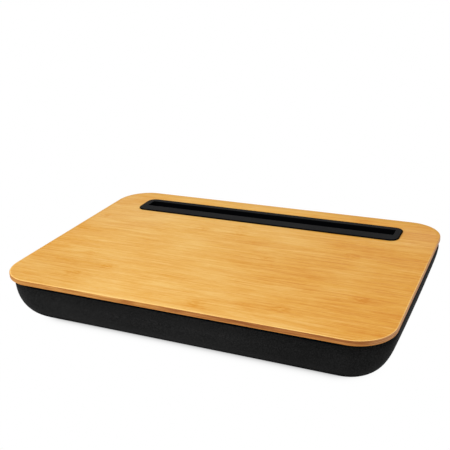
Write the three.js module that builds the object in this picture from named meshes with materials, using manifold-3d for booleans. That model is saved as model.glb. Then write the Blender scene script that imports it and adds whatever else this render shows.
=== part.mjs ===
// Lap desk: a thin bamboo board with a drop-in media slot, on a fabric-covered foam cushion.
// Millimetres, +Z up, +X to the right along the front edge, +Y towards the back.
// The origin lies on the floor under the middle of the board.

import * as THREE from "three";
import { mergeVertices } from "three/addons/utils/BufferGeometryUtils.js";
import Module from "manifold-3d";

const wasm = await Module();
wasm.setup();

// Top board
const boardWidth = 380;
const boardDepth = 262;
const boardThickness = 4.8;
const boardCornerRadius = 34.6;
const boardEdgeRadius = 0.9;

// Slot insert: a flange that lies on the board, and a trough that hangs through it
const flangeWidth = 304;
const flangeDepth = 35;
const flangeThickness = 1.2;
const flangeCornerRadius = 9;
const flangeEdgeRadius = 0.7;
const flangeSetback = 23.2;
const slotLength = 289;
const slotGap = 14;
const slotReach = 19;
const slotCornerRadius = 0.8;
const slotBackRim = 7;
const troughWall = 1.6;

// Lugs on the trough's long walls, which catch under the board
const lugWidth = 14;
const lugReach = 1.2;
const lugPitch = 110;
const lugsPerWall = 3;

// Cushion: its outer form, as the cover shows it
const cushionHeight = 45.1;
const cushionInset = 0.5;
const cushionDrawIn = 32.7;
const cushionCornerRadius = 39.3;
const cornerTighteningShare = 0.82;

// Cushion cover
const coverThickness = 1.2;
const coverShoulderRadius = 1.8;
const hemWidth = 18;

// Carrier plate, inside the cover on top of the foam
const carrierThickness = 4;

// Staples through the hem into the carrier plate
const stapleCrown = 10;
const stapleLeg = 4;
const stapleWireWidth = 1.2;
const stapleWireThickness = 0.5;
const stapleInset = 9;
const stapleEndMargin = 6;
const staplesAlongWidth = 7;
const staplesAlongDepth = 5;

// Double-sided foam tape between the carrier plate and the board
const tapeWidth = 15;
const tapeMargin = 3;

// Clearance between pieces that pass or hold each other, and the overrun of every cut
const fitClearance = 0.3;
const cutOverrun = 1;

// Steps of the round stretches
const boardCornerSteps = 12;
const cushionCornerSteps = 7;
const smallCornerSteps = 4;
const edgeSteps = 3;
const shoulderSteps = 2;
const sideSteps = 8;
const smallestRadius = 0.4;

// Levels, from the floor up
const hemTop = cushionHeight;
const carrierTop = hemTop - coverThickness;
const carrierBottom = carrierTop - carrierThickness;
const boardBottom = hemTop + stapleWireThickness + fitClearance;
const boardTop = boardBottom + boardThickness;
const flangeTop = boardTop + flangeThickness;
const tapeThickness = boardBottom - carrierTop;
const lugHeight = tapeThickness - 2 * fitClearance;
const lugTop = boardBottom - fitClearance;
const troughFloor = flangeTop - slotReach;
const troughBottom = troughFloor - troughWall;

// Places and sizes of the slot's pieces, seen from above
const flangeBack = boardDepth / 2 - flangeSetback;
const flangeCentreY = flangeBack - flangeDepth / 2;
const slotCentreY = flangeBack - slotBackRim - slotGap / 2;
const troughLength = slotLength + 2 * troughWall;
const troughDepth = slotGap + 2 * troughWall;
const troughCornerRadius = slotCornerRadius + troughWall;
const cutoutMargin = fitClearance;
const passageMargin = lugReach + fitClearance;

// Outline of the cushion at its widest
const cushionWidth = boardWidth - 2 * cushionInset;
const cushionDepth = boardDepth - 2 * cushionInset;

const colours = {
  bamboo: 0xe6ab5c,
  blackPlastic: 0x262626,
  blackFabric: 0x1d1d1f,
  fibreboard: 0x9a7650,
  foam: 0xd9d4c8,
  tape: 0xeeeeea,
  steel: 0xb9bcc0,
};

// A closed geometry as a solid that can be joined and cut
function solidOf(geometry) {
  const bare = geometry.clone();
  bare.deleteAttribute("normal");
  bare.deleteAttribute("uv");
  const merged = mergeVertices(bare);
  return new wasm.Manifold(
    new wasm.Mesh({
      numProp: 3,
      vertProperties: new Float32Array(merged.attributes.position.array),
      triVerts: new Uint32Array(merged.index.array),
    }),
  );
}

// A solid back as a geometry with flat-shaded faces
function geometryOf(solid) {
  const mesh = solid.getMesh();
  const geometry = new THREE.BufferGeometry();
  geometry.setAttribute("position", new THREE.BufferAttribute(mesh.vertProperties, 3));
  geometry.setIndex(new THREE.BufferAttribute(mesh.triVerts, 1));
  const flat = geometry.toNonIndexed();
  flat.computeVertexNormals();
  return flat;
}

// Counter-clockwise outline of a rectangle with round corners, centred on the origin
function roundedOutline(width, depth, radius, steps) {
  const corner = Math.max(Math.min(radius, width / 2, depth / 2), smallestRadius);
  const reachX = width / 2 - corner;
  const reachY = depth / 2 - corner;
  const quarters = [
    [reachX, reachY],
    [-reachX, reachY],
    [-reachX, -reachY],
    [reachX, -reachY],
  ];
  const points = [];
  quarters.forEach(([x, y], quarter) => {
    for (let step = 0; step <= steps; step++) {
      const angle = (Math.PI / 2) * (quarter + step / steps);
      points.push(new THREE.Vector2(x + corner * Math.cos(angle), y + corner * Math.sin(angle)));
    }
  });
  return points;
}

// Skin over a stack of outlines with equally many points, from the lowest up, closed at both ends
function loft(rings) {
  const count = rings[0].outline.length;
  const positions = rings.flatMap(({ outline, level }) => outline.flatMap((p) => [p.x, p.y, level]));
  const indices = [];
  for (let ring = 0; ring < rings.length - 1; ring++) {
    const lower = ring * count;
    const upper = lower + count;
    for (let i = 0; i < count; i++) {
      const next = (i + 1) % count;
      indices.push(lower + i, lower + next, upper + next);
      indices.push(lower + i, upper + next, upper + i);
    }
  }
  const last = (rings.length - 1) * count;
  for (const [a, b, c] of THREE.ShapeUtils.triangulateShape(rings[0].outline, [])) {
    indices.push(c, b, a);
  }
  for (const [a, b, c] of THREE.ShapeUtils.triangulateShape(rings.at(-1).outline, [])) {
    indices.push(last + a, last + b, last + c);
  }
  const geometry = new THREE.BufferGeometry();
  geometry.setAttribute("position", new THREE.Float32BufferAttribute(positions, 3));
  geometry.setIndex(indices);
  return geometry;
}

// Upright prism between two levels
function prism(outline, bottom, top) {
  return solidOf(loft([{ outline, level: bottom }, { outline, level: top }]));
}

function box(width, depth, height) {
  return solidOf(new THREE.BoxGeometry(width, depth, height));
}

// Panel from level zero up, with both its edges rounded
function roundedPanel(width, depth, thickness, cornerRadius, edgeRadius, cornerSteps) {
  const edge = Math.min(edgeRadius, thickness / 2);
  const rings = [];
  const addRing = (angle, level) => {
    const inset = edge * (1 - Math.cos(angle));
    const outline = roundedOutline(
      width - 2 * inset,
      depth - 2 * inset,
      cornerRadius - inset,
      cornerSteps,
    );
    rings.push({ outline, level });
  };
  for (let step = 0; step <= edgeSteps; step++) {
    const angle = (Math.PI / 2) * (1 - step / edgeSteps);
    addRing(angle, edge * (1 - Math.sin(angle)));
  }
  for (let step = 0; step <= edgeSteps; step++) {
    const angle = (Math.PI / 2) * (step / edgeSteps);
    addRing(angle, thickness - edge * (1 - Math.sin(angle)));
  }
  return solidOf(loft(rings));
}

// How far the cushion's side has curved in at a level
function sideInset(level) {
  const rise = 1 - level / cushionHeight;
  return cushionDrawIn * (1 - Math.sqrt(1 - rise * rise));
}

// Outline of the cushion's form a given way in from its widest, with corners that tighten as it draws in
function cushionOutline(inset, margin) {
  return roundedOutline(
    cushionWidth - 2 * (inset + margin),
    cushionDepth - 2 * (inset + margin),
    cushionCornerRadius - cornerTighteningShare * inset - margin,
    cushionCornerSteps,
  );
}

// Rings of the cushion's form moved in by a margin: a quarter ellipse from the flat bottom to a level
function cushionRings(margin, topLevel) {
  const rings = [];
  for (let step = 0; step < sideSteps; step++) {
    const angle = (Math.PI / 2) * (1 - step / sideSteps);
    const inwards = Math.cos(angle) / cushionDrawIn;
    const upwards = Math.sin(angle) / cushionHeight;
    const slope = Math.hypot(inwards, upwards);
    const inset = cushionDrawIn * (1 - Math.cos(angle));
    const level = cushionHeight * (1 - Math.sin(angle)) + (margin * upwards) / slope;
    if (level < topLevel - fitClearance) {
      rings.push({ outline: cushionOutline(inset, (margin * inwards) / slope), level });
    }
  }
  rings.push({ outline: cushionOutline(sideInset(topLevel), margin), level: topLevel });
  return rings;
}

// The trough's body and everything that must let it through, as a prism around the slot's centre
function aroundTrough(margin, bottom, top) {
  const outline = roundedOutline(
    troughLength + 2 * margin,
    troughDepth + 2 * margin,
    troughCornerRadius + margin,
    smallCornerSteps,
  );
  return prism(outline, bottom, top).translate([0, slotCentreY, 0]);
}

function makeBoard() {
  const panel = roundedPanel(
    boardWidth,
    boardDepth,
    boardThickness,
    boardCornerRadius,
    boardEdgeRadius,
    boardCornerSteps,
  );
  return panel.subtract(aroundTrough(cutoutMargin, -cutOverrun, boardThickness + cutOverrun));
}

// Local level zero is the flange's underside
function makeInsert() {
  const flange = roundedPanel(
    flangeWidth,
    flangeDepth,
    flangeThickness,
    flangeCornerRadius,
    flangeEdgeRadius,
    smallCornerSteps,
  ).translate([0, flangeCentreY, 0]);
  const trough = aroundTrough(0, troughBottom - boardTop, flangeThickness / 2);
  const opening = roundedOutline(slotLength, slotGap, slotCornerRadius, smallCornerSteps);
  const cavity = prism(opening, troughFloor - boardTop, flangeThickness + cutOverrun);
  let insert = flange.add(trough);
  const lugDepth = troughDepth + 2 * lugReach;
  for (let i = 0; i < lugsPerWall; i++) {
    const x = (i - (lugsPerWall - 1) / 2) * lugPitch;
    const lug = box(lugWidth, lugDepth, lugHeight);
    insert = insert.add(lug.translate([x, slotCentreY, lugTop - lugHeight / 2 - boardTop]));
  }
  return insert.subtract(cavity.translate([0, slotCentreY, 0]));
}

// Where the staples go: evenly along each straight side of the hem, crowns along the edge
function staplePlaces() {
  const reachX = cushionWidth / 2 - stapleInset;
  const reachY = cushionDepth / 2 - stapleInset;
  const sides = [
    { name: "front", turn: 0, side: cushionWidth, count: staplesAlongWidth, x: 0, y: -reachY },
    { name: "right", turn: Math.PI / 2, side: cushionDepth, count: staplesAlongDepth, x: reachX, y: 0 },
    { name: "back", turn: Math.PI, side: cushionWidth, count: staplesAlongWidth, x: 0, y: reachY },
    { name: "left", turn: -Math.PI / 2, side: cushionDepth, count: staplesAlongDepth, x: -reachX, y: 0 },
  ];
  return sides.flatMap(({ name, turn, side, count, x, y }) => {
    const run = side - 2 * (cushionCornerRadius + stapleEndMargin);
    return Array.from({ length: count }, (_, i) => {
      const shift = (i / (count - 1) - 1 / 2) * run;
      return {
        name: `staple_${name}_${i + 1}`,
        turn,
        x: x + shift * Math.cos(turn),
        y: y + shift * Math.sin(turn),
      };
    });
  });
}

// Local origin under the crown's middle, on the hem
function makeStaple() {
  const half = stapleCrown / 2;
  const inner = half - stapleWireThickness;
  const shape = new THREE.Shape();
  shape.moveTo(-half, stapleWireThickness);
  shape.lineTo(-half, -stapleLeg);
  shape.lineTo(-inner, -stapleLeg);
  shape.lineTo(-inner, 0);
  shape.lineTo(inner, 0);
  shape.lineTo(inner, -stapleLeg);
  shape.lineTo(half, -stapleLeg);
  shape.lineTo(half, stapleWireThickness);
  const bar = new THREE.ExtrudeGeometry(shape, { depth: stapleWireWidth, bevelEnabled: false });
  bar.rotateX(Math.PI / 2);
  bar.translate(0, stapleWireWidth / 2, 0);
  return solidOf(bar);
}

// Holes that the staples' legs make, one box each
function cutStapleHoles(solid) {
  const width = stapleWireThickness + 2 * fitClearance;
  const depth = stapleWireWidth + 2 * fitClearance;
  const height = stapleLeg + fitClearance + cutOverrun;
  const middle = hemTop + cutOverrun - height / 2;
  const legX = (stapleCrown - stapleWireThickness) / 2;
  return staplePlaces().reduce((cut, { turn, x, y }) => {
    const turnDegrees = THREE.MathUtils.radToDeg(turn);
    return [-legX, legX].reduce((left, offset) => {
      const hole = box(width, depth, height).translate([offset, 0, middle]);
      return left.subtract(hole.rotate([0, 0, turnDegrees]).translate([x, y, 0]));
    }, cut);
  }, solid);
}

// Fabric shell over the foam, with its hem turned in over the carrier plate
function makeCover() {
  const shoulderLevel = hemTop - coverShoulderRadius;
  const rings = cushionRings(0, shoulderLevel);
  const edgeInset = sideInset(shoulderLevel);
  for (let step = 1; step <= shoulderSteps; step++) {
    const angle = (Math.PI / 2) * (step / shoulderSteps);
    const inset = coverShoulderRadius * (1 - Math.cos(angle));
    const level = shoulderLevel + coverShoulderRadius * Math.sin(angle);
    rings.push({ outline: cushionOutline(edgeInset, inset), level });
  }
  const form = solidOf(loft(rings));
  const inside = solidOf(loft(cushionRings(coverThickness, carrierTop)));
  const mouth = prism(cushionOutline(0, hemWidth), carrierTop - cutOverrun, hemTop + cutOverrun);
  const passage = aroundTrough(passageMargin, troughBottom - fitClearance, hemTop + cutOverrun);
  return cutStapleHoles(form.subtract(inside).subtract(mouth).subtract(passage));
}

function makeCarrier() {
  const margin = sideInset(carrierBottom) + coverThickness + fitClearance;
  const plate = prism(cushionOutline(0, margin), carrierBottom, carrierTop);
  const passage = aroundTrough(passageMargin, carrierBottom - cutOverrun, carrierTop + cutOverrun);
  return cutStapleHoles(plate.subtract(passage));
}

function makeFoam() {
  const block = solidOf(loft(cushionRings(coverThickness + fitClearance, carrierBottom)));
  const pocketFloor = troughBottom - fitClearance;
  return block.subtract(aroundTrough(passageMargin, pocketFloor, carrierBottom + cutOverrun));
}

// A frame of four tape strips, inside the hem and in front of the slot
function makeTapes() {
  const straight = cushionWidth - 2 * cushionCornerRadius;
  const reachX = cushionWidth / 2 - hemWidth - tapeMargin;
  const front = -(cushionDepth / 2 - hemWidth - tapeMargin);
  const back = slotCentreY - troughDepth / 2 - passageMargin - tapeMargin;
  const middleY = (front + back) / 2;
  const sideLength = back - front - 2 * (tapeWidth + fitClearance);
  const endX = reachX - tapeWidth / 2;
  return [
    { name: "tape_front", width: straight, depth: tapeWidth, x: 0, y: front + tapeWidth / 2 },
    { name: "tape_back", width: straight, depth: tapeWidth, x: 0, y: back - tapeWidth / 2 },
    { name: "tape_left", width: tapeWidth, depth: sideLength, x: -endX, y: middleY },
    { name: "tape_right", width: tapeWidth, depth: sideLength, x: endX, y: middleY },
  ];
}

function material(color, roughness, metalness = 0) {
  return new THREE.MeshStandardMaterial({ color, roughness, metalness });
}

function piece(name, solid, look, level = 0) {
  const mesh = new THREE.Mesh(geometryOf(solid), look);
  mesh.name = name;
  mesh.position.z = level;
  return mesh;
}

const lapDesk = new THREE.Group();

const deskTop = new THREE.Group();
deskTop.position.z = boardBottom;
deskTop.add(piece("top_board", makeBoard(), material(colours.bamboo, 0.45)));
deskTop.add(piece("slot_insert", makeInsert(), material(colours.blackPlastic, 0.6), boardThickness));
lapDesk.add(deskTop);

const cushion = new THREE.Group();
cushion.add(piece("cushion_cover", makeCover(), material(colours.blackFabric, 0.95)));
cushion.add(piece("foam_core", makeFoam(), material(colours.foam, 0.9)));
cushion.add(piece("carrier_plate", makeCarrier(), material(colours.fibreboard, 0.85)));
lapDesk.add(cushion);

const staples = new THREE.Group();
staples.position.z = hemTop;
for (const { name, turn, x, y } of staplePlaces()) {
  const staple = piece(name, makeStaple(), material(colours.steel, 0.35, 0.9));
  staple.position.set(x, y, 0);
  staple.rotation.z = turn;
  staples.add(staple);
}
lapDesk.add(staples);

const tapes = new THREE.Group();
tapes.position.z = carrierTop;
for (const { name, width, depth, x, y } of makeTapes()) {
  const tape = piece(name, box(width, depth, tapeThickness), material(colours.tape, 0.7));
  tape.position.set(x, y, tapeThickness / 2);
  tapes.add(tape);
}
lapDesk.add(tapes);

export default lapDesk;
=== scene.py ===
# Looks of the lap desk, in metres: bamboo board, moulded slot insert and fabric cushion on a pale floor

import math

import bmesh
import bpy
from mathutils import Matrix, Vector


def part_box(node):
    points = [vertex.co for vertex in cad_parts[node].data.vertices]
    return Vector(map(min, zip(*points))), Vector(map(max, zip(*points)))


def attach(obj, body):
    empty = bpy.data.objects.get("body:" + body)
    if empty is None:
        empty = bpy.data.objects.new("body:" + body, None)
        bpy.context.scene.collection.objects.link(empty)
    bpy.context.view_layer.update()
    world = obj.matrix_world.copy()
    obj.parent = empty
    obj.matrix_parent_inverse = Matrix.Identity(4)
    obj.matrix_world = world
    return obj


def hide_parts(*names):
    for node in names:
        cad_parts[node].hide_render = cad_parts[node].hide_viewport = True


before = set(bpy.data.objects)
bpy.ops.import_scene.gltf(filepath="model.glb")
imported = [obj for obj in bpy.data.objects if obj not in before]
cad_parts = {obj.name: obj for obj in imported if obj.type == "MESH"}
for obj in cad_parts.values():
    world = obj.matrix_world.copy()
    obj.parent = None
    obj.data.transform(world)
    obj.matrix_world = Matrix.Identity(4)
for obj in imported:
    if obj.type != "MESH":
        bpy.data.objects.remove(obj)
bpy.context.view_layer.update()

# Board
BOARD_CORNER_RADIUS = 0.0346
BOARD_EDGE_RADIUS = 0.0009

# Slot insert, its trough and the lugs under the board
FLANGE_DEPTH = 0.035
FLANGE_THICKNESS = 0.0012
FLANGE_CORNER_RADIUS = 0.009
FLANGE_EDGE_RADIUS = 0.0007
FLANGE_UNDERSIDE_INSET = 0.0002
SLOT_LENGTH = 0.289
SLOT_GAP = 0.014
SLOT_REACH = 0.019
SLOT_BACK_RIM = 0.007
SLOT_CORNER_RADIUS = 0.0008
SLOT_LIP_RADIUS = 0.0004
TROUGH_WALL = 0.0016
TROUGH_EDGE_RADIUS = 0.0006
LUG_WIDTH = 0.014
LUG_REACH = 0.0012
LUG_PITCH = 0.110
LUG_HEIGHT = 0.0014
LUG_EDGE_RADIUS = 0.0002
LUGS_PER_WALL = 3
FIT_CLEARANCE = 0.0003

# Cushion
CUSHION_DRAW_IN = 0.0330
CUSHION_TOP_RADIUS = 0.0435
CUSHION_FLOOR_RADIUS = 0.0214
BACK_CORNER_SHARE = 0.8
CORNER_OPENING_POWER = 1.15
COVER_THICKNESS = 0.0012
SHOULDER_RISE = 0.006
SHOULDER_INSET = 0.0016
HEM_WIDTH = 0.018
FOAM_MARGIN = 0.0027
FOAM_EDGE_RADIUS = 0.002
CARRIER_MARGIN = 0.0034
CARRIER_EDGE_RADIUS = 0.0008

# Cloth simulation that swells the cover
CLOTH_QUALITY = 8
CLOTH_MASS = 0.2
SWELL_PRESSURE = 4.0
SWELL_FRAMES = 20
SWELL_CAP = 0.0012
SWELL_ROOM = 0.0008
SMOOTHING_LOSS = 0.0007

# Steps of the round stretches, and limits
BOARD_CORNER_STEPS = 24
SMALL_CORNER_STEPS = 8
EDGE_STEPS = 5
CUSHION_CORNER_STEPS = 8
CUSHION_SIDE_STEPS = 11
SHOULDER_STEPS = 3
CLOTH_STEP = 0.008
LEAST_RADIUS = 0.0002
LEVEL_FACE_NORMAL = 0.8
FACE_AREA_WEIGHT = 100

# Camera
CAMERA_TARGET = (-0.0327, 0.0596)
CAMERA_DISTANCE = 0.8147
CAMERA_AZIMUTH = math.radians(25.30)
CAMERA_ELEVATION = math.radians(21.66)
CAMERA_ROLL = math.radians(-2.554)
LENS = 59.78
SENSOR = 36

# Light
WORLD_LEVEL = 0.70
KEY_POWER = 6.5
KEY_PLACE = (-0.28, -0.85, 0.65)
KEY_SIZE = 0.7
FILL_POWER = 1.5
FILL_PLACE = (0.5, 0.6, 1.1)
FILL_SIZE = 1.0
LAMP_AIM = (0, 0, 0.02)

# Floor, with a lower albedo near the cushion: painted shadow as the camera sees it, and painted shade in
# the light it bounces onto the object
FLOOR_SIZE = 6.0
FLOOR_SEGMENTS = 8
FLOOR_GAP = 0.0001
FLOOR_ALBEDO = 0.8
SHADOW_ALBEDO = 0.7
SHADOW_REACH = 0.0091
CREASE_SHADOW_ALBEDO = 0.05
CREASE_SHADOW_REACH = 0.0115
CONTACT_SHADE_ALBEDO = 0.1
CONTACT_SHADE_REACH = 0.035

board_lo, board_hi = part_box("top_board")
insert_lo, insert_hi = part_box("slot_insert")
cover_lo, cover_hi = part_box("cushion_cover")
carrier_lo, carrier_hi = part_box("carrier_plate")
board_width = board_hi.x - board_lo.x
board_depth = board_hi.y - board_lo.y
flange_width = insert_hi.x - insert_lo.x
flange_centre = insert_hi.y - FLANGE_DEPTH / 2
slot_centre = insert_hi.y - SLOT_BACK_RIM - SLOT_GAP / 2
passage_margin = TROUGH_WALL + LUG_REACH + FIT_CLEARANCE
cushion_width = cover_hi.x - cover_lo.x
cushion_depth = cover_hi.y - cover_lo.y
cushion_height = cover_hi.z


# Ring of points on a rectangle with round corners, counter-clockwise, with its straight stretches divided
def ring(width, depth, radius, level, centre, corner_steps, runs=(1, 1), back_radius=None):
    radii = [back_radius or radius] * 2 + [radius] * 2
    corners = []
    for (side_x, side_y), wanted in zip(((1, 1), (-1, 1), (-1, -1), (1, -1)), radii):
        limited = max(min(wanted, width / 2, depth / 2), LEAST_RADIUS)
        x = side_x * (width / 2 - limited)
        y = centre + side_y * (depth / 2 - limited)
        corners.append((x, y, limited))

    def corner_point(corner, angle):
        x, y, reach = corner
        return Vector((x + reach * math.cos(angle), y + reach * math.sin(angle), level))

    points = []
    for quarter, corner in enumerate(corners):
        for step in range(corner_steps + 1):
            points.append(corner_point(corner, math.pi / 2 * (quarter + step / corner_steps)))
        start = points[-1]
        end = corner_point(corners[(quarter + 1) % 4], math.pi / 2 * (quarter + 1))
        run = runs[quarter % 2]
        for step in range(1, run):
            points.append(start.lerp(end, step / run))
    return points


# Ring around the slot, at a margin from it
def slot_ring(margin, level, corner_steps):
    width = SLOT_LENGTH + 2 * margin
    depth = SLOT_GAP + 2 * margin
    return ring(width, depth, SLOT_CORNER_RADIUS + margin, level, slot_centre, corner_steps)


# Skin over rings with equally many points, joined end to end, capped at both ends or left open
def loft(rings, joined=False, capped=False, into=None):
    bm = into or bmesh.new()
    rows = [[bm.verts.new(point) for point in points] for points in rings]
    pairs = list(zip(rows, rows[1:]))
    if joined:
        pairs.append((rows[-1], rows[0]))
    for lower, upper in pairs:
        for i in range(len(lower)):
            j = (i + 1) % len(lower)
            bm.faces.new((lower[i], lower[j], upper[j], upper[i]))
    if capped:
        bm.faces.new(list(reversed(rows[0])))
        bm.faces.new(rows[-1])
    bmesh.ops.recalc_face_normals(bm, faces=bm.faces)
    return bm


# Closes the lowest ring of a loft with a grid of four-sided faces between the middles of its corners
def fill_floor(bm, row, corner_steps, runs):
    across, along = (run + corner_steps for run in runs)
    back_right = corner_steps // 2
    back_left = back_right + across
    front_left = back_left + along
    front_right = front_left + across
    total = len(row)
    grid = {}
    for i in range(across + 1):
        grid[i, 0] = row[front_left + i]
        grid[i, along] = row[back_left - i]
    for j in range(along + 1):
        grid[0, j] = row[front_left - j]
        grid[across, j] = row[(front_right + j) % total]
    for i in range(1, across):
        for j in range(1, along):
            u = i / across
            v = j / along
            sides = grid[0, j].co * (1 - u) + grid[across, j].co * u
            ends = grid[i, 0].co * (1 - v) + grid[i, along].co * v
            front = grid[0, 0].co * (1 - u) + grid[across, 0].co * u
            back = grid[0, along].co * (1 - u) + grid[across, along].co * u
            grid[i, j] = bm.verts.new(sides + ends - front * (1 - v) - back * v)
    for i in range(across):
        for j in range(along):
            bm.faces.new((grid[i, j], grid[i, j + 1], grid[i + 1, j + 1], grid[i + 1, j]))
    bmesh.ops.recalc_face_normals(bm, faces=bm.faces)


def make_object(name, bm, materials):
    mesh = bpy.data.meshes.new(name)
    bm.to_mesh(mesh)
    bm.free()
    mesh.polygons.foreach_set("use_smooth", [True] * len(mesh.polygons))
    piece = bpy.data.objects.new(name, mesh)
    bpy.context.scene.collection.objects.link(piece)
    for material in materials:
        mesh.materials.append(material)
    return piece


# Evaluates the modifiers into the mesh, so that none is left on the piece
def apply_modifiers(piece):
    graph = bpy.context.evaluated_depsgraph_get()
    mesh = bpy.data.meshes.new_from_object(piece.evaluated_get(graph))
    piece.modifiers.clear()
    piece.data = mesh


def even_shading(piece):
    modifier = piece.modifiers.new("even shading", "WEIGHTED_NORMAL")
    modifier.weight = FACE_AREA_WEIGHT
    modifier.keep_sharp = True


# Node trees: usual ranges of noise, and the Mix node's sockets for colours
NOISE_ROUGHNESS = 0.55
NOISE_SPAN = (0.3, 0.7)
CLOUD_SPAN = (0.35, 0.65)
MIX_FIRST_COLOUR = 6
MIX_SECOND_COLOUR = 7
MIX_RESULT_COLOUR = 2


def new_material(name):
    material = bpy.data.materials.new(name)
    material.use_nodes = True
    tree = material.node_tree
    return material, tree, tree.nodes["Principled BSDF"]


def add(tree, kind, inputs=None, **settings):
    node = tree.nodes.new("ShaderNode" + kind)
    for name, value in settings.items():
        setattr(node, name, value)
    for name, value in (inputs or {}).items():
        connect(tree, value, node.inputs[name])
    return node


# Links another node's output to a socket, or sets the socket to a plain value
def connect(tree, value, socket):
    if isinstance(value, bpy.types.NodeSocket):
        tree.links.new(value, socket)
    else:
        socket.default_value = value


def feed(tree, shader, **sockets):
    for name, value in sockets.items():
        title = name.replace("_", " ").title().replace("Ior", "IOR")
        connect(tree, value, shader.inputs[title])


def place(tree):
    return add(tree, "TexCoord").outputs["Object"]


def axes_of(tree, vector):
    node = add(tree, "SeparateXYZ", {"Vector": vector})
    return node.outputs["X"], node.outputs["Y"], node.outputs["Z"]


# Noise with so many cells to the metre along x, y and z
def noise(tree, position, scales, detail=2.0):
    vector = add(tree, "Mapping", {"Vector": position, "Scale": scales}).outputs["Vector"]
    inputs = {"Vector": vector, "Scale": 1.0, "Detail": detail, "Roughness": NOISE_ROUGHNESS}
    return add(tree, "TexNoise", inputs).outputs["Fac"]


def calc(tree, operation, first, second=0.0, clamp=False):
    node = add(tree, "Math", {0: first, 1: second}, operation=operation, use_clamp=clamp)
    return node.outputs[0]


def vector_calc(tree, operation, first, second=(0, 0, 0)):
    node = add(tree, "VectorMath", {0: first, 1: second}, operation=operation)
    return node.outputs["Vector"]


def length_of(tree, vector):
    return add(tree, "VectorMath", {0: vector}, operation="LENGTH").outputs["Value"]


# Smooth step from one value to another, while the input goes from low to high
def remap(tree, value, low, high, to_low=0.0, to_high=1.0):
    inputs = {"Value": value, "From Min": low, "From Max": high, "To Min": to_low, "To Max": to_high}
    return add(tree, "MapRange", inputs, interpolation_type="SMOOTHSTEP").outputs["Result"]


# Product of smooth steps from 0 to 1, one for each value and its span
def within(tree, *steps):
    product = 1.0
    for value, span in steps:
        product = calc(tree, "MULTIPLY", product, remap(tree, value, *span))
    return product


def blend(tree, factor, first, second):
    node = add(tree, "Mix", {0: factor}, data_type="RGBA")
    connect(tree, first, node.inputs[MIX_FIRST_COLOUR])
    connect(tree, second, node.inputs[MIX_SECOND_COLOUR])
    return node.outputs[MIX_RESULT_COLOUR]


# How far a point lies outside a rectangle with round corners, seen from above
def beyond_outline(tree, width, depth, radius, centre=0.0):
    straight = (width / 2 - radius, depth / 2 - radius, 0)
    offset = vector_calc(tree, "SUBTRACT", place(tree), (0, centre, 0))
    flat = vector_calc(tree, "MULTIPLY", offset, (1, 1, 0))
    folded = vector_calc(tree, "ABSOLUTE", flat)
    past = vector_calc(tree, "SUBTRACT", folded, straight)
    outside = vector_calc(tree, "MAXIMUM", past)
    return calc(tree, "SUBTRACT", length_of(tree, outside), radius)


def bump(tree, shader, height, strength, distance):
    inputs = {"Height": height, "Strength": strength, "Distance": distance}
    tree.links.new(add(tree, "Bump", inputs).outputs["Normal"], shader.inputs["Normal"])


# A colour as it is read on a screen, 0 to 255, in the renderer's own linear values
def screen(colour):
    def linear(value):
        share = value / 255
        return share / 12.92 if share <= 0.04045 else ((share + 0.055) / 1.055) ** 2.4

    return (*(linear(value) for value in colour), 1.0)


def grey(level):
    return (level, level, level, 1.0)


# Sum of shares of tones that lie around a half, plus a half
def tone_sum(tree, shares):
    total = 0.5
    for value, share in shares:
        part = calc(tree, "MULTIPLY", calc(tree, "SUBTRACT", value, 0.5), share)
        total = calc(tree, "ADD", part, total)
    return total


# Colour of a tone: dark below, light above, mid between
def tone_colour(tree, tone, dark, mid, light):
    lower = blend(tree, calc(tree, "MULTIPLY", tone, 2.0, clamp=True), dark, mid)
    upper = calc(tree, "SUBTRACT", calc(tree, "MULTIPLY", tone, 2.0), 1.0, clamp=True)
    return blend(tree, upper, lower, light)


# Colour of a tone between three screen colours
def screen_tones(tree, tone, colours):
    return tone_colour(tree, tone, *(screen(colour) for colour in colours))


# Blend of two screen colours in soft clouds
def cloudy(tree, value, colours, span=CLOUD_SPAN):
    first, second = colours
    return blend(tree, remap(tree, value, *span), screen(first), screen(second))


# Bamboo grain: cells to the metre along x, y and z, and its shares in the tone
GRAIN_WARP = (6, 20, 20)
GRAIN_SHIFT = 0.002
FINE_STREAKS = (26, 1000, 1000)
MIDDLE_STREAKS = (16, 360, 360)
BROAD_STREAKS = (10, 100, 100)
FLECKS = (170, 700, 700)
FACE_CLOUDS = (14, 34, 34)
STREAK_SHARES = (1.20, 0.76, 0.40, 0.50)
FACE_CLOUD_SHARE = 0.80
STRIP_WIDTH = 0.0205
STRIP_SHARE = 0.14

# Bamboo knuckles, where the cane had its joints
KNUCKLES = [
    (-0.130, -0.051),
    (-0.122, -0.099),
    (-0.097, -0.076),
    (0.018, -0.117),
    (0.043, -0.009),
    (-0.008, 0.043),
    (-0.050, 0.043),
    (-0.012, 0.059),
    (-0.183, 0.004),
    (-0.177, 0.044),
    (0.118, 0.024),
    (0.150, -0.062),
    (0.092, -0.100),
    (-0.060, 0.108),
    (0.105, 0.118),
]
KNUCKLE_REACH = (0.015, 0.0105)
KNUCKLE_MOTTLE = (140, 420, 160)
KNUCKLE_MOTTLE_SPAN = (0.36, 0.60)
KNUCKLE_SHARE = 0.38

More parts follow.
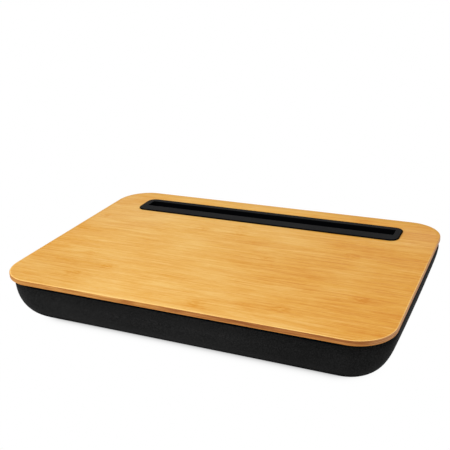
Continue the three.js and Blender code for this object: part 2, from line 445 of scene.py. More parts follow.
# Top face: its colours, and where they change, in metres from the board's middle
FACE_LEFT_TONES = ((216, 146, 24), (229, 174, 83), (239, 196, 116))
FACE_RIGHT_TONES = ((205, 124, 0), (221, 158, 58), (234, 184, 102))
FACE_TURN_ACROSS = (-0.06, 0.19)
# Painted shade: the left end's tone is darkened, and the front left corner is blended towards black
LEFT_END_SHADE_ACROSS = (-0.12, -0.18)
LEFT_END_SHADE_SHARE = 0.10
FRONT_LEFT_SHADE_ACROSS = (-0.06, -0.15)
FRONT_LEFT_SHADE_ALONG = (-0.02, -0.10)
FRONT_LEFT_SHADE_SHARE = 0.05
PALE_PATCH_COLOUR = (255, 235, 190)
PALE_LEFT_ACROSS = (-0.08, -0.12)
PALE_LEFT_ALONG = (0.010, 0.035)
PALE_RIGHT_ACROSS = (0.135, 0.170)
PALE_RIGHT_ALONG = (0.055, 0.080)
PALE_END_ALONG = (0.120, 0.105)
PALE_PATCH_SHARE = 0.05
FACE_ROUGHNESS = (0.46, 0.60)
FACE_SPECULAR = 0.2
FACE_BUMP = (0.12, 0.00008)

# Eased rim of the top face: a painted highlight towards the front right, a painted shade towards the back
# left
RIM_LIGHT_LEAN = 0.4
RIM_HIGHLIGHT_TONES = ((236, 176, 84), (250, 206, 122), (254, 220, 146))
RIM_HIGHLIGHT_SPAN = (-0.0021, -0.0013)
RIM_HIGHLIGHT_TURN = (0.0, 0.06)
RIM_HIGHLIGHT_SHARE = 0.75
NARROWED_ACROSS = (0.150, 0.180)
NARROWED_BY = 0.0007
FRONT_HIGHLIGHT_BAND_ALONG = (-0.121, -0.130)
FRONT_HIGHLIGHT_BAND_END = (0.165, 0.125)
FRONT_HIGHLIGHT_BAND_START = (-0.12, -0.04)
FRONT_HIGHLIGHT_BAND_SHARE = 0.4
# Painted shade on the rim towards the back left, and in a band along the back edge
RIM_SHADE_COLOUR = (208, 148, 36)
RIM_SHADE_SPAN = (-0.0050, -0.0025)
RIM_SHADE_TURN = (0.01, -0.04)
BACK_SHADE_BAND_ALONG = (0.1215, 0.1255)
RIM_SHADE_ACROSS = (0.0, 0.15)
RIM_SHADE_SHARES = (0.35, 0.60)


# Streaks along the board at three widths, slightly wavy, and short flecks
def grain(tree, position):
    warp = noise(tree, position, GRAIN_WARP, detail=1.0)
    shift = calc(tree, "MULTIPLY", calc(tree, "SUBTRACT", warp, 0.5), GRAIN_SHIFT)
    moved = add(tree, "CombineXYZ", {"Y": shift}).outputs["Vector"]
    bent = vector_calc(tree, "ADD", position, moved)
    return [noise(tree, bent, scales) for scales in (FINE_STREAKS, MIDDLE_STREAKS, BROAD_STREAKS, FLECKS)]


# A tone from 0 to 1 for each laminated strip
def strip_tone(tree, along):
    row = calc(tree, "FLOOR", calc(tree, "DIVIDE", along, STRIP_WIDTH))
    return add(tree, "TexWhiteNoise", {"W": row}, noise_dimensions="1D").outputs["Value"]


# Soft mottled patches at the knuckles
def knuckles(tree, position):
    total = 0.0
    for x, y in KNUCKLES:
        offset = vector_calc(tree, "SUBTRACT", position, (x, y, 0))
        flat = vector_calc(tree, "MULTIPLY", offset, (1, 1, 0))
        spread = vector_calc(tree, "DIVIDE", flat, (*KNUCKLE_REACH, 1))
        total = calc(tree, "MAXIMUM", total, remap(tree, length_of(tree, spread), 1.0, 0.0))
    mottle = noise(tree, position, KNUCKLE_MOTTLE)
    return calc(tree, "MULTIPLY", total, remap(tree, mottle, *KNUCKLE_MOTTLE_SPAN))


# Paler patches at the back corners
def pale_patches(tree, across, along):
    left = within(tree, (across, PALE_LEFT_ACROSS), (along, PALE_LEFT_ALONG))
    right = within(tree, (across, PALE_RIGHT_ACROSS), (along, PALE_RIGHT_ALONG))
    either = calc(tree, "MAXIMUM", left, right)
    return calc(tree, "MULTIPLY", either, remap(tree, along, *PALE_END_ALONG, 0.0, PALE_PATCH_SHARE))


# Painted highlight: a lighter line where the edge is eased, with a fainter band behind it along the front,
# stronger towards the front right
def rim_highlight_mask(tree, across, along, edge, light_lean):
    band = within(tree, (along, FRONT_HIGHLIGHT_BAND_ALONG), (across, FRONT_HIGHLIGHT_BAND_END))
    band = calc(tree, "MULTIPLY", band, remap(tree, across, *FRONT_HIGHLIGHT_BAND_START, 0.0, FRONT_HIGHLIGHT_BAND_SHARE))
    nearer = calc(tree, "SUBTRACT", edge, remap(tree, across, *NARROWED_ACROSS, 0.0, NARROWED_BY))
    line = calc(tree, "MAXIMUM", remap(tree, nearer, *RIM_HIGHLIGHT_SPAN), band)
    return calc(tree, "MULTIPLY", line, remap(tree, light_lean, *RIM_HIGHLIGHT_TURN, 0.0, RIM_HIGHLIGHT_SHARE))


# Painted shade: a darker line on the rim towards the back left, and a band along the back edge
def rim_shade_mask(tree, across, along, edge, light_lean):
    line = calc(tree, "MAXIMUM", remap(tree, edge, *RIM_SHADE_SPAN), remap(tree, along, *BACK_SHADE_BAND_ALONG))
    line = calc(tree, "MULTIPLY", line, remap(tree, light_lean, *RIM_SHADE_TURN))
    return calc(tree, "MULTIPLY", line, remap(tree, across, *RIM_SHADE_ACROSS, *RIM_SHADE_SHARES))


def face_tone(tree, position, streaks, front_left):
    across, along, _ = axes_of(tree, position)
    clouds = noise(tree, position, FACE_CLOUDS)
    strips = strip_tone(tree, along)
    shares = [*zip(streaks, STREAK_SHARES), (clouds, FACE_CLOUD_SHARE), (strips, STRIP_SHARE)]
    tone = tone_sum(tree, shares)
    tone = calc(tree, "SUBTRACT", tone, calc(tree, "MULTIPLY", knuckles(tree, position), KNUCKLE_SHARE))
    # Painted shade at the left end and at the front left corner
    tone = calc(tree, "SUBTRACT", tone, remap(tree, across, *LEFT_END_SHADE_ACROSS, 0.0, LEFT_END_SHADE_SHARE))
    return calc(tree, "SUBTRACT", tone, front_left)


def bamboo_face():
    material, tree, shader = new_material("bamboo face")
    position = place(tree)
    across, along, _ = axes_of(tree, position)
    streaks = grain(tree, position)
    # Painted shade at the front left corner, a blend towards black
    front_left = within(tree, (across, FRONT_LEFT_SHADE_ACROSS), (along, FRONT_LEFT_SHADE_ALONG))
    front_left = calc(tree, "MULTIPLY", front_left, FRONT_LEFT_SHADE_SHARE)
    tone = face_tone(tree, position, streaks, front_left)
    turn = remap(tree, across, *FACE_TURN_ACROSS)
    pairs = zip(FACE_LEFT_TONES, FACE_RIGHT_TONES)
    tones = [blend(tree, turn, screen(left), screen(right)) for left, right in pairs]
    colour = blend(tree, front_left, tone_colour(tree, tone, *tones), grey(0.0))
    colour = blend(tree, pale_patches(tree, across, along), colour, screen(PALE_PATCH_COLOUR))
    edge = beyond_outline(tree, board_width, board_depth, BOARD_CORNER_RADIUS)
    light_lean = calc(tree, "SUBTRACT", calc(tree, "MULTIPLY", across, RIM_LIGHT_LEAN), along)
    # Painted highlight and painted shade on the eased rim
    eased = screen_tones(tree, tone, RIM_HIGHLIGHT_TONES)
    colour = blend(tree, rim_highlight_mask(tree, across, along, edge, light_lean), colour, eased)
    colour = blend(tree, rim_shade_mask(tree, across, along, edge, light_lean), colour, screen(RIM_SHADE_COLOUR))
    fine, middle = streaks[:2]
    feed(tree, shader, base_color=colour, roughness=remap(tree, middle, *NOISE_SPAN, *FACE_ROUGHNESS))
    feed(tree, shader, specular_ior_level=FACE_SPECULAR)
    bump(tree, shader, calc(tree, "ADD", fine, middle), *FACE_BUMP)
    return material


# Board's side: grain, tones and where they change, in metres
SIDE_PLIES = (22, 22, 1700)
SIDE_FIBRES = (70, 70, 3600)
SIDE_CLOUDS = (36, 36, 260)
PLY_SHARE = 3.0
FIBRE_SHARE = 1.8
SIDE_CLOUD_SHARE = 1.0
SIDE_PALE_TONES = ((157, 97, 41), (182, 125, 59), (206, 151, 82))
SIDE_DEEP_TONES = ((134, 76, 32), (156, 97, 44), (180, 120, 62))
END_GRAIN_TONES = ((168, 112, 64), (193, 138, 90), (214, 164, 118))
SIDE_CHANGE_ACROSS = (-0.035, 0.005)
SIDE_CHANGE_WANDER = 0.12
END_GRAIN_ACROSS = (0.168, 0.188)
SIDE_KNOT = -0.041
KNOT_REACH = 0.012
KNOT_FIBRES = (0.30, 0.5)
KNOT_SHARE = 0.75
UPPER_BAND_BELOW_TOP = (0.0022, 0.0010)
UPPER_BAND_SHARES = (0.2, -0.3)
LOWER_LINE_ABOVE_BOTTOM = (0.0014, 0.0005)
LOWER_LINE_SHARE = 0.7
LOWER_LINE_COLOUR = (206, 138, 62)
SIDE_ROUGHNESS = (0.55, 0.68)
SIDE_SPECULAR = 0.15
SIDE_BUMP = (0.35, 0.00012)


# Levels at two depths below a level
def levels_below(level, depths):
    return [level - depth for depth in depths]


# Long grain along the front and back, paler end grain at the sides, and a lighter line along the bottom
def bamboo_side():
    material, tree, shader = new_material("bamboo side")
    position = place(tree)
    across, _, height = axes_of(tree, position)
    plies = noise(tree, position, SIDE_PLIES)
    fibres = noise(tree, position, SIDE_FIBRES)
    clouds = noise(tree, position, SIDE_CLOUDS)
    tone = tone_sum(tree, ((plies, PLY_SHARE), (fibres, FIBRE_SHARE), (clouds, SIDE_CLOUD_SHARE)))
    from_knot = calc(tree, "ABSOLUTE", calc(tree, "SUBTRACT", across, SIDE_KNOT))
    knot = within(tree, (from_knot, (KNOT_REACH, 0.0)), (fibres, KNOT_FIBRES))
    end = remap(tree, calc(tree, "ABSOLUTE", across), *END_GRAIN_ACROSS)
    # Darker upper ply along the front and back; at the ends this band is lighter, a painted highlight that
    # carries on the rim's line
    upper = remap(tree, height, *levels_below(board_hi.z, UPPER_BAND_BELOW_TOP))
    upper = calc(tree, "MULTIPLY", upper, remap(tree, end, 0.0, 1.0, *UPPER_BAND_SHARES))
    shade = calc(tree, "ADD", calc(tree, "MULTIPLY", knot, KNOT_SHARE), upper)
    tone = calc(tree, "SUBTRACT", tone, shade)
    wander = calc(tree, "MULTIPLY", calc(tree, "SUBTRACT", clouds, 0.5), SIDE_CHANGE_WANDER)
    change = remap(tree, calc(tree, "ADD", across, wander), *SIDE_CHANGE_ACROSS)
    pale = screen_tones(tree, tone, SIDE_PALE_TONES)
    deep = screen_tones(tree, tone, SIDE_DEEP_TONES)
    colour = blend(tree, change, pale, deep)
    end_grain = screen_tones(tree, tone, END_GRAIN_TONES)
    colour = blend(tree, calc(tree, "MULTIPLY", end, change), colour, end_grain)
    above = calc(tree, "SUBTRACT", height, board_lo.z)
    low = remap(tree, above, *LOWER_LINE_ABOVE_BOTTOM, 0.0, LOWER_LINE_SHARE)
    colour = blend(tree, low, colour, screen(LOWER_LINE_COLOUR))
    feed(tree, shader, base_color=colour, roughness=remap(tree, plies, *NOISE_SPAN, *SIDE_ROUGHNESS))
    feed(tree, shader, specular_ior_level=SIDE_SPECULAR)
    bump(tree, shader, plies, *SIDE_BUMP)
    return material


# Black moulded plastic, with painted shade at the flange's rim and below its top face
PLASTIC_SPARKS = (2600, 2600, 2600)
PLASTIC_CLOUDS = (40, 60, 60)
PLASTIC_COLOURS = ((12, 12, 13), (17, 17, 17))
PLASTIC_SHADE_COLOUR = (6, 7, 9)
PLASTIC_SHADE_BELOW_TOP = (0.0002, 0.0006)
FLANGE_RIM_SHADE_SPAN = (-0.0016, -0.0009)
FLANGE_RIM_SHADE_SHARE = 0.95
PLASTIC_ROUGHNESS = (0.52, 0.70)
PLASTIC_SPECULAR = 0.04
PLASTIC_BUMP = (0.3, 0.00008)


def moulded_plastic():
    material, tree, shader = new_material("black moulded plastic")
    position = place(tree)
    _, _, height = axes_of(tree, position)
    sparks = noise(tree, position, PLASTIC_SPARKS)
    colour = cloudy(tree, noise(tree, position, PLASTIC_CLOUDS), PLASTIC_COLOURS)
    # Painted shade below the flange's top face and at its rim, where the specular is taken out too
    under = remap(tree, height, *levels_below(insert_hi.z, PLASTIC_SHADE_BELOW_TOP))
    edge = beyond_outline(tree, flange_width, FLANGE_DEPTH, FLANGE_CORNER_RADIUS, flange_centre)
    deep = calc(tree, "MAXIMUM", under, remap(tree, edge, *FLANGE_RIM_SHADE_SPAN, 0.0, FLANGE_RIM_SHADE_SHARE))
    colour = blend(tree, deep, colour, screen(PLASTIC_SHADE_COLOUR))
    feed(tree, shader, base_color=colour, roughness=remap(tree, sparks, *NOISE_SPAN, *PLASTIC_ROUGHNESS))
    feed(tree, shader, specular_ior_level=remap(tree, deep, 0.0, 1.0, PLASTIC_SPECULAR, 0.0))
    bump(tree, shader, sparks, *PLASTIC_BUMP)
    return material


# Black cover fabric, with painted shade under the board, towards the right corner and in the fold at the
# top
CLOTH_PLACE = "cloth place"
THREAD_PITCH = 0.00055
FABRIC_CLOUDS = (30, 30, 30)
FABRIC_SPECKS = (1250, 1250, 1250)
FABRIC_CLOUD_SHARE = 0.7
FABRIC_SPECK_SHARE = 5.2
THREAD_SHARE = 0.3
FABRIC_TONES = ((17, 17, 17), (26, 26, 26), (40, 40, 40))
FABRIC_SHADE_COLOUR = (6, 6, 6)
FABRIC_SHADE_BELOW_TOP = (0.016, 0.001)
FABRIC_SHADE_SHARE = 0.35
CORNER_SHADE_START = (0.04, 0.13)
CORNER_SHADE_END = (0.158, 0.180)
CORNER_SHADE_SHARE = 0.26
FOLD_SHADE_COLOUR = (1, 5, 9)
FOLD_SHADE_BELOW_TOP = (0.0025, 0.0010)
SHADED_FOOT_LEVELS = (0.018, 0.006)
FABRIC_ROUGHNESS = (0.86, 0.98)
FABRIC_SPECULAR = 0.03
FABRIC_SHEEN = 0.06
FABRIC_SHEEN_ROUGHNESS = 0.3
FABRIC_BUMP = (0.25, 0.00012)


# Fine plain weave: a chequer of threads that pass over and under
def weave(tree):
    cloth = add(tree, "Attribute", attribute_name=CLOTH_PLACE).outputs["Vector"]
    turns = vector_calc(tree, "MULTIPLY", cloth, (math.pi / THREAD_PITCH,) * 3)
    warp, weft, _ = axes_of(tree, vector_calc(tree, "SINE", turns))
    return remap(tree, calc(tree, "MULTIPLY", warp, weft), -1.0, 1.0)


def cover_fabric():
    material, tree, shader = new_material("black cover fabric")
    position = place(tree)
    across, _, height = axes_of(tree, position)
    threads = weave(tree)
    clouds = noise(tree, position, FABRIC_CLOUDS, detail=3.0)
    specks = noise(tree, position, FABRIC_SPECKS)
    shares = ((clouds, FABRIC_CLOUD_SHARE), (specks, FABRIC_SPECK_SHARE), (threads, THREAD_SHARE))
    colour = screen_tones(tree, tone_sum(tree, shares), FABRIC_TONES)
    # Painted shade under the board's overhang and towards the right corner
    shade_levels = levels_below(cushion_height, FABRIC_SHADE_BELOW_TOP)
    upper = remap(tree, height, *shade_levels, 0.0, FABRIC_SHADE_SHARE)
    corner_start = remap(tree, across, *CORNER_SHADE_START)
    corner_end = remap(tree, across, *CORNER_SHADE_END)
    corner = calc(tree, "SUBTRACT", corner_start, corner_end)
    shade = calc(tree, "ADD", upper, calc(tree, "MULTIPLY", corner, CORNER_SHADE_SHARE))
    colour = blend(tree, shade, colour, screen(FABRIC_SHADE_COLOUR))
    # Painted shade in the fold at the top, in the gap under the board
    fold_shade = remap(tree, height, *levels_below(cushion_height, FOLD_SHADE_BELOW_TOP))
    colour = blend(tree, fold_shade, colour, screen(FOLD_SHADE_COLOUR))
    # No specular or sheen in the fold and towards the foot, a stand-in for shade from the board and the
    # floor
    shaded_sheen = calc(tree, "MAXIMUM", fold_shade, remap(tree, height, *SHADED_FOOT_LEVELS))
    feed(tree, shader, base_color=colour, roughness=remap(tree, specks, *NOISE_SPAN, *FABRIC_ROUGHNESS))
    feed(tree, shader, specular_ior_level=remap(tree, shaded_sheen, 0.0, 1.0, FABRIC_SPECULAR, 0.0))
    feed(tree, shader, sheen_weight=remap(tree, shaded_sheen, 0.0, 1.0, FABRIC_SHEEN, 0.0))
    feed(tree, shader, sheen_roughness=FABRIC_SHEEN_ROUGHNESS)
    bump(tree, shader, calc(tree, "ADD", threads, specks), *FABRIC_BUMP)
    return material


# Cream foam, with painted shade in its cell pits
FOAM_CELLS = 900.0
FOAM_CLOUDS = (30, 30, 30)
FOAM_COLOURS = ((226, 221, 206), (214, 206, 186))
FOAM_PIT_SHADE_COLOUR = (170, 160, 138)
FOAM_PIT_SHADE_SPAN = (0.0, 0.5)
FOAM_PIT_SHADE_SHARE = 0.35
FOAM_ROUGHNESS_SPAN = (0.0, 0.6)
FOAM_ROUGHNESS = (0.98, 0.85)
FOAM_BUMP = (0.5, 0.0003)


def cream_foam():
    material, tree, shader = new_material("cream foam")
    position = place(tree)
    cells = add(tree, "TexVoronoi", {"Vector": position, "Scale": FOAM_CELLS}).outputs["Distance"]
    colour = cloudy(tree, noise(tree, position, FOAM_CLOUDS), FOAM_COLOURS)
    pit_shade = remap(tree, cells, *FOAM_PIT_SHADE_SPAN, FOAM_PIT_SHADE_SHARE, 0.0)
    colour = blend(tree, pit_shade, colour, screen(FOAM_PIT_SHADE_COLOUR))
    roughness = remap(tree, cells, *FOAM_ROUGHNESS_SPAN, *FOAM_ROUGHNESS)
    feed(tree, shader, base_color=colour, roughness=roughness)
    bump(tree, shader, cells, *FOAM_BUMP)
    return material


# Fibreboard of the carrier plate
CARRIER_FIBRES = (380, 520, 520)
CARRIER_CLOUDS = (24, 24, 24)
CARRIER_CLOUD_SPAN = (0.4, 0.7)
CARRIER_CLOUD_SHARE = 0.4
CARRIER_COLOURS = ((140, 106, 70), (168, 132, 92))
CARRIER_CLOUD_COLOUR = (128, 94, 62)
CARRIER_ROUGHNESS = (0.78, 0.92)
CARRIER_BUMP = (0.4, 0.0002)


def fibreboard():
    material, tree, shader = new_material("fibreboard")
    position = place(tree)
    fibres = noise(tree, position, CARRIER_FIBRES, detail=4.0)
    clouds = noise(tree, position, CARRIER_CLOUDS)
    colour = cloudy(tree, fibres, CARRIER_COLOURS)
    darker = remap(tree, clouds, *CARRIER_CLOUD_SPAN, 0.0, CARRIER_CLOUD_SHARE)
    colour = blend(tree, darker, colour, screen(CARRIER_CLOUD_COLOUR))
    feed(tree, shader, base_color=colour, roughness=remap(tree, fibres, *NOISE_SPAN, *CARRIER_ROUGHNESS))
    bump(tree, shader, fibres, *CARRIER_BUMP)
    return material


# Foam tape
TAPE_CELLS = (1100, 1100, 1100)
TAPE_CELL_SPAN = (0.35, 0.7)
TAPE_COLOURS = ((232, 232, 228), (206, 206, 200))
TAPE_ROUGHNESS = (0.62, 0.8)
TAPE_BUMP = (0.4, 0.0001)


def foam_tape():
    material, tree, shader = new_material("foam tape")
    cells = noise(tree, place(tree), TAPE_CELLS)
    colour = cloudy(tree, cells, TAPE_COLOURS, TAPE_CELL_SPAN)
    feed(tree, shader, base_color=colour, roughness=remap(tree, cells, *NOISE_SPAN, *TAPE_ROUGHNESS))
    bump(tree, shader, cells, *TAPE_BUMP)
    return material


# Staple steel
DRAWN_LINES = (900, 900, 3000)
DRAWN_LINE_SPAN = (0.35, 0.7)
STEEL_COLOURS = ((190, 193, 198), (150, 152, 156))
STEEL_METALLIC = 0.95
STEEL_ROUGHNESS = (0.28, 0.42)
STEEL_BUMP = (0.2, 0.00003)


def staple_steel():
    material, tree, shader = new_material("staple steel")
    lines = noise(tree, place(tree), DRAWN_LINES)
    colour = cloudy(tree, lines, STEEL_COLOURS, DRAWN_LINE_SPAN)
    feed(tree, shader, base_color=colour, metallic=STEEL_METALLIC)
    feed(tree, shader, roughness=remap(tree, lines, *NOISE_SPAN, *STEEL_ROUGHNESS))
    bump(tree, shader, lines, *STEEL_BUMP)
    return material


# Insets and rises of a quarter round from an upright side to a flat face
def quarter_round(radius):
    angles = [math.pi / 2 * step / EDGE_STEPS for step in range(EDGE_STEPS + 1)]
    return [(radius * (1 - math.cos(angle)), radius * math.sin(angle)) for angle in angles]


# Rings up the side of a plate whose lower and upper edges are eased
def plate_rings(outline, bottom, top, radius):
    edge = quarter_round(radius)
    rings = [outline(inset, bottom + radius - rise) for inset, rise in reversed(edge)]
    return rings + [outline(inset, top - radius + rise) for inset, rise in edge]


# Bamboo panel with a cut-out that the trough passes through
def make_board():
    def panel(inset, level):
        width = board_width - 2 * inset
        depth = board_depth - 2 * inset
        return ring(width, depth, BOARD_CORNER_RADIUS - inset, level, 0.0, BOARD_CORNER_STEPS)

    def cutout(level):
        return slot_ring(TROUGH_WALL + FIT_CLEARANCE, level, BOARD_CORNER_STEPS)

    side = plate_rings(panel, board_lo.z, board_hi.z, BOARD_EDGE_RADIUS)
    bm = loft([cutout(board_lo.z), *side, cutout(board_hi.z)], joined=True)
    for face in bm.faces:
        face.material_index = 0 if face.normal.z > LEVEL_FACE_NORMAL else 1
    board = make_object("bamboo_board", bm, [bamboo_face(), bamboo_side()])
    even_shading(board)
    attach(board, "root")
    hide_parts("top_board")


# Small catch with an eased lower edge, half sunk in the trough's wall
def add_lug(bm, x, y):
    top = board_lo.z - FIT_CLEARANCE
    bottom = top - LUG_HEIGHT
    edge = reversed(quarter_round(LUG_EDGE_RADIUS))
    sections = [(inset, bottom + LUG_EDGE_RADIUS - rise) for inset, rise in edge]
    outlines = []
    for inset, level in (*sections, (0.0, top)):
        width = LUG_WIDTH - 2 * inset
        depth = 2 * (LUG_REACH - inset)
        outline = ring(width, depth, LUG_EDGE_RADIUS, level, y, SMALL_CORNER_STEPS)
        outlines.append([point + Vector((x, 0, 0)) for point in outline])
    loft(outlines, capped=True, into=bm)


# Flange on the board, trough through it, lugs under it
def make_insert():
    flange_top = insert_hi.z
    flange_bottom = flange_top - FLANGE_THICKNESS
    trough_bottom = insert_lo.z
    wall_reach = SLOT_GAP / 2 + TROUGH_WALL

    def flange(inset, level):
        width = flange_width - 2 * inset
        depth = FLANGE_DEPTH - 2 * inset
        return ring(width, depth, FLANGE_CORNER_RADIUS - inset, level, flange_centre, SMALL_CORNER_STEPS)

    def around_slot(margin, level):
        return slot_ring(margin, level, SMALL_CORNER_STEPS)

    rings = []
    for inset, rise in reversed(quarter_round(TROUGH_EDGE_RADIUS)):
        rings.append(around_slot(TROUGH_WALL - inset, trough_bottom + TROUGH_EDGE_RADIUS - rise))
    rings.append(around_slot(TROUGH_WALL, flange_bottom))
    rings.append(flange(FLANGE_UNDERSIDE_INSET, flange_bottom))
    for inset, rise in quarter_round(FLANGE_EDGE_RADIUS):
        rings.append(flange(inset, flange_top - FLANGE_EDGE_RADIUS + rise))
    for inset, rise in reversed(quarter_round(SLOT_LIP_RADIUS)):
        rings.append(around_slot(inset, flange_top - SLOT_LIP_RADIUS + rise))
    rings.append(around_slot(0, flange_top - SLOT_REACH))
    bm = loft(rings, capped=True)
    for lug in range(LUGS_PER_WALL):
        x = LUG_PITCH * (lug - (LUGS_PER_WALL - 1) / 2)
        add_lug(bm, x, slot_centre - wall_reach)
        add_lug(bm, x, slot_centre + wall_reach)
    insert = make_object("slot_insert_moulding", bm, [moulded_plastic()])
    even_shading(insert)
    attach(insert, "root")
    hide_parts("slot_insert")


# How far the cushion's side has curved in at a level
def side_inset(level):
    rise = 1 - level / cushion_height
    return CUSHION_DRAW_IN * (1 - math.sqrt(max(0.0, 1 - rise * rise)))


# Ring of the cushion at a level, whose corners open from the floor up and are tighter at the back
def cushion_ring(inset, margin, level, runs=(1, 1)):
    width = cushion_width - 2 * (inset + margin)
    depth = cushion_depth - 2 * (inset + margin)
    opened = 1 - max(0.0, 1 - level / cushion_height) ** CORNER_OPENING_POWER
    radius = CUSHION_FLOOR_RADIUS + (CUSHION_TOP_RADIUS - CUSHION_FLOOR_RADIUS) * opened
    back_radius = max(radius * BACK_CORNER_SHARE - margin, FIT_CLEARANCE)
    return ring(width, depth, radius - margin, level, 0.0, CUSHION_CORNER_STEPS, runs, back_radius)


# Rings of the cushion's side up to a level, with room for swelling and with smoothing's loss made up
def side_rings(margin, top, runs=(1, 1), room=0.0, loss=0.0):
    rings = []
    for step in range(CUSHION_SIDE_STEPS):
        angle = math.pi / 2 * (1 - step / CUSHION_SIDE_STEPS)
        inwards = math.cos(angle) / CUSHION_DRAW_IN
        upwards = math.sin(angle) / cushion_height
        slope = math.hypot(inwards, upwards)
        inset = CUSHION_DRAW_IN * (1 - math.cos(angle))
        moved = margin + room * math.sin(2 * angle) * math.cos(angle) - loss * math.sin(angle)
        level = max(cushion_height * (1 - math.sin(angle)) + moved * upwards / slope, 0.0)
        if level < top - FIT_CLEARANCE:
            rings.append(cushion_ring(inset, moved * inwards / slope, level, runs))
    rings.append(cushion_ring(side_inset(top), margin, top, runs))
    return rings


# Where each point of the sheet lies on the flat cloth: as it is at the bottom edge, and unrolled beyond it
def unrolled(rings):
    outwards = [(b - a).to_2d().normalized().to_3d() for a, b in zip(rings[0], rings[1])]
    lengths = [0.0] * len(rings[0])
    places = [*rings[0]]
    for lower, upper in zip(rings, rings[1:]):
        lengths = [length + (b - a).length for length, a, b in zip(lengths, lower, upper)]
        places += [point + way * length for point, way, length in zip(rings[0], outwards, lengths)]
    return places


# Cloth under pressure: the sheet swells where it isn't held, and no point moves further than the cap
def swell(piece, held, cap):
    rest = [vertex.co.copy() for vertex in piece.data.vertices]
    group = piece.vertex_groups.new(name="held")
    group.add(held, 1.0, "REPLACE")
    cloth = piece.modifiers.new("cloth", "CLOTH")
    cloth.settings.vertex_group_mass = group.name
    cloth.settings.quality = CLOTH_QUALITY
    cloth.settings.mass = CLOTH_MASS
    cloth.settings.use_pressure = True
    cloth.settings.uniform_pressure_force = SWELL_PRESSURE
    cloth.settings.effector_weights.gravity = 0
    cloth.collision_settings.use_collision = False
    scene = bpy.context.scene
    for number in range(1, SWELL_FRAMES + 1):
        scene.frame_set(number)
    graph = bpy.context.evaluated_depsgraph_get()
    swollen = [vertex.co.copy() for vertex in piece.evaluated_get(graph).data.vertices]
    piece.modifiers.clear()
    piece.vertex_groups.clear()
    scene.frame_set(1)
    for vertex, before, after in zip(piece.data.vertices, rest, swollen):
        move = after - before
        if move.length > cap:
            move = move.normalized() * cap
        spot = before + move
        vertex.co = (spot.x, spot.y, max(spot.z, 0.0))


# Rings of the cover: its side, its shoulder and the hem that turns in over the carrier plate
def cover_rings(runs):
    shoulder_level = cushion_height - SHOULDER_RISE
    rings = side_rings(0.0, shoulder_level, runs, SWELL_ROOM, SMOOTHING_LOSS)
    for step in range(1, SHOULDER_STEPS + 1):
        angle = math.pi / 2 * step / SHOULDER_STEPS
        inset = SHOULDER_INSET * (1 - math.cos(angle))
        level = shoulder_level + SHOULDER_RISE * math.sin(angle)
        rings.append(cushion_ring(side_inset(shoulder_level), inset, level, runs))
    hem_rings = [cushion_ring(0.0, margin, cushion_height, runs) for margin in (HEM_WIDTH / 3, HEM_WIDTH)]
    return rings, hem_rings


# Gives the sheet's points their places on the flat cloth, which the weave follows
def mark_cloth_places(bm, rings):
    layer = bm.verts.layers.float_vector.new(CLOTH_PLACE)
    bm.verts.ensure_lookup_table()
    for vertex in bm.verts:
        vertex[layer] = vertex.co
    for vertex, spot in zip(bm.verts, unrolled(rings)):
        vertex[layer] = spot


# Fabric shell over the foam
def make_cover():
    runs = (round(cushion_width / CLOTH_STEP), round(cushion_depth / CLOTH_STEP))
    rings, hem_rings = cover_rings(runs)
    count = len(rings[0])
    held_from = (len(rings) - 1) * count
    bm = loft(rings + hem_rings)
    bm.verts.ensure_lookup_table()
    fill_floor(bm, bm.verts[:count], CUSHION_CORNER_STEPS, runs)
    mark_cloth_places(bm, rings + hem_rings)
    held = list(range(held_from, len(bm.verts)))
    cover = make_object("cushion_fabric", bm, [cover_fabric()])
    swell(cover, held, SWELL_CAP)
    cover.modifiers.new("finer", "SUBSURF").levels = 1
    shell = cover.modifiers.new("shell", "SOLIDIFY")
    shell.thickness = COVER_THICKNESS
    shell.offset = -1
    apply_modifiers(cover)
    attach(cover, "root")
    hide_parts("cushion_cover")


# Fibreboard plate with an opening for the trough
def make_carrier():
    def passage(level):
        return slot_ring(passage_margin, level, CUSHION_CORNER_STEPS)

    def plate(inset, level):
        outline = cushion_ring(0.0, CARRIER_MARGIN + inset, cushion_height)
        return [Vector((point.x, point.y, level)) for point in outline]

    side = plate_rings(plate, carrier_lo.z, carrier_hi.z, CARRIER_EDGE_RADIUS)
    bm = loft([passage(carrier_lo.z), *side, passage(carrier_hi.z)], joined=True)
    carrier = make_object("carrier_board", bm, [fibreboard()])
    even_shading(carrier)
    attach(carrier, "root")
    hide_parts("carrier_plate")


# Foam block with a pocket for the trough
def make_foam():
    top = carrier_lo.z
    pocket_floor = insert_lo.z - FIT_CLEARANCE
    shoulder = top - FOAM_EDGE_RADIUS
    rings = side_rings(FOAM_MARGIN, shoulder)
    for step_in, rise in quarter_round(FOAM_EDGE_RADIUS)[1:]:
        rings.append(cushion_ring(side_inset(shoulder), FOAM_MARGIN + step_in, shoulder + rise))
    rings += [slot_ring(passage_margin, level, CUSHION_CORNER_STEPS) for level in (top, pocket_floor)]
    foam = make_object("foam_block", loft(rings, capped=True), [cream_foam()])
    even_shading(foam)
    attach(foam, "root")
    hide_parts("foam_core")


# CAD nodes that stay get their finish
def dress_kept_nodes():
    finishes = {"tape_": foam_tape(), "staple_": staple_steel()}
    for name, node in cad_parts.items():
        for start, material in finishes.items():
            if name.startswith(start):
                for slot in node.material_slots:
                    slot.material = material


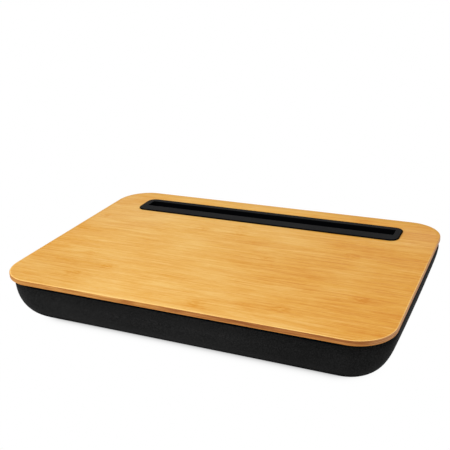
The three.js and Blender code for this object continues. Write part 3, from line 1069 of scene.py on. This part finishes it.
def make_camera():
    turn = Matrix.Rotation(CAMERA_AZIMUTH, 3, "Z")
    lift = Matrix.Rotation(math.pi / 2 - CAMERA_ELEVATION, 3, "X")
    roll = Matrix.Rotation(CAMERA_ROLL, 3, "Z")
    facing = turn @ lift @ roll
    camera = bpy.data.objects.new("camera", bpy.data.cameras.new("camera"))
    camera.data.lens = LENS
    camera.data.sensor_width = SENSOR
    spot = Vector((*CAMERA_TARGET, board_hi.z)) + facing @ Vector((0, 0, CAMERA_DISTANCE))
    camera.matrix_world = Matrix.Translation(spot) @ facing.to_4x4()
    bpy.context.scene.collection.objects.link(camera)
    bpy.context.scene.camera = camera


def make_lamp(name, power, spot, size):
    data = bpy.data.lights.new(name, "AREA")
    data.energy = power
    data.size = size
    lamp = bpy.data.objects.new(name, data)
    lamp.location = spot
    aim = Vector(LAMP_AIM) - Vector(spot)
    lamp.rotation_euler = aim.to_track_quat("-Z", "Y").to_euler()
    bpy.context.scene.collection.objects.link(lamp)


# One for rays that should meet the plain white background, zero for those that light the object
def background_rays(tree):
    path = add(tree, "LightPath")
    seen = calc(tree, "MAXIMUM", path.outputs["Is Camera Ray"], path.outputs["Is Glossy Ray"])
    return calc(tree, "MAXIMUM", seen, path.outputs["Is Transmission Ray"])


def make_world():
    world = bpy.data.worlds.new("studio")
    world.use_nodes = True
    tree = world.node_tree
    background = tree.nodes["Background"]
    background.inputs["Color"].default_value = grey(1.0)
    strength = remap(tree, background_rays(tree), 0, 1, WORLD_LEVEL, 1.0)
    tree.links.new(strength, background.inputs["Strength"])
    bpy.context.scene.world = world


# How near the floor is to where the cushion stands, from 1 at its edge to 0 further out
def near_cushion(tree, reach):
    width = cushion_width - 2 * CUSHION_DRAW_IN
    depth = cushion_depth - 2 * CUSHION_DRAW_IN
    away = beyond_outline(tree, width, depth, CUSHION_FLOOR_RADIUS)
    reaches = calc(tree, "DIVIDE", calc(tree, "MAXIMUM", away, 0.0), reach)
    squared = calc(tree, "MULTIPLY", reaches, reaches)
    return calc(tree, "EXPONENT", calc(tree, "MULTIPLY", squared, -1.0))


# The camera sees plain white with the shadow near the cushion, partly real and partly painted by a lower
# albedo, and the object is lit by a grey floor that is painted darker near the cushion
def floor_material():
    material, tree, shader = new_material("white floor")
    tree.nodes.remove(shader)
    # Painted shadow: the floor's albedo drops near the cushion, and further in the crease
    crease_shadow = blend(tree, near_cushion(tree, CREASE_SHADOW_REACH), grey(SHADOW_ALBEDO), grey(CREASE_SHADOW_ALBEDO))
    shadowed = add(tree, "BsdfDiffuse", {"Color": crease_shadow}).outputs[0]
    plain = add(tree, "Emission", {"Color": grey(1.0), "Strength": 1.0}).outputs[0]
    seen = add(tree, "MixShader", {0: near_cushion(tree, SHADOW_REACH), 1: plain, 2: shadowed}).outputs[0]
    # Painted shade: the floor bounces less light near the cushion
    shaded_bounce = blend(tree, near_cushion(tree, CONTACT_SHADE_REACH), grey(FLOOR_ALBEDO), grey(CONTACT_SHADE_ALBEDO))
    bounce = add(tree, "BsdfDiffuse", {"Color": shaded_bounce}).outputs[0]
    whole = add(tree, "MixShader", {0: background_rays(tree), 1: bounce, 2: seen}).outputs[0]
    tree.links.new(whole, tree.nodes["Material Output"].inputs["Surface"])
    return material


def make_floor():
    bm = bmesh.new()
    bmesh.ops.create_grid(bm, x_segments=FLOOR_SEGMENTS, y_segments=FLOOR_SEGMENTS, size=FLOOR_SIZE / 2)
    floor = make_object("floor", bm, [floor_material()])
    floor.location.z = -FLOOR_GAP


make_camera()
make_board()
make_insert()
make_cover()
make_foam()
make_carrier()
dress_kept_nodes()
make_floor()
make_world()
make_lamp("key", KEY_POWER, KEY_PLACE, KEY_SIZE)
make_lamp("fill", FILL_POWER, FILL_PLACE, FILL_SIZE)
bpy.context.scene.view_settings.view_transform = "Standard"
